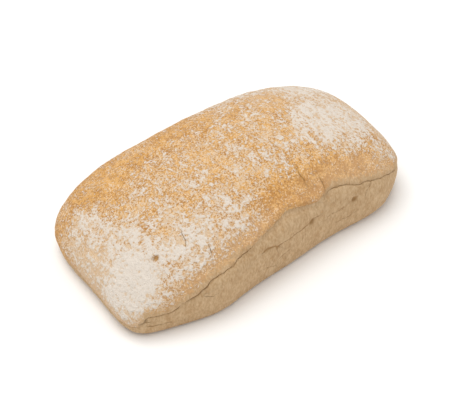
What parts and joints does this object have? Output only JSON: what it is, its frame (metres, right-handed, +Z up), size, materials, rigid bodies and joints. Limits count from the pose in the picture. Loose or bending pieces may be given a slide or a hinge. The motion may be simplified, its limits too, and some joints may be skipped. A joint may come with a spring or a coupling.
{
  "type": "tin loaf",
  "caption": "Low rectangular rustic white loaf with a rounded golden crown dusted with flour, pale soft walls and a flat base.",
  "frame": {"origin": "middle of the flat base, on the surface that the loaf rests on", "axes": "+X along the loaf, towards the end where the wall stands higher; +Z up; the long side with the open crease under the crust faces -Y"},
  "size_m": [0.22, 0.121, 0.06],
  "materials": {
    "crust": "matte baked crust, golden brown on the crown and pale tan on the walls and base",
    "flour": "dry white flour dusted on the crown"
  },
  "bodies": {
    "root": {"loaf": "crust"}
  },
  "joints": []
}
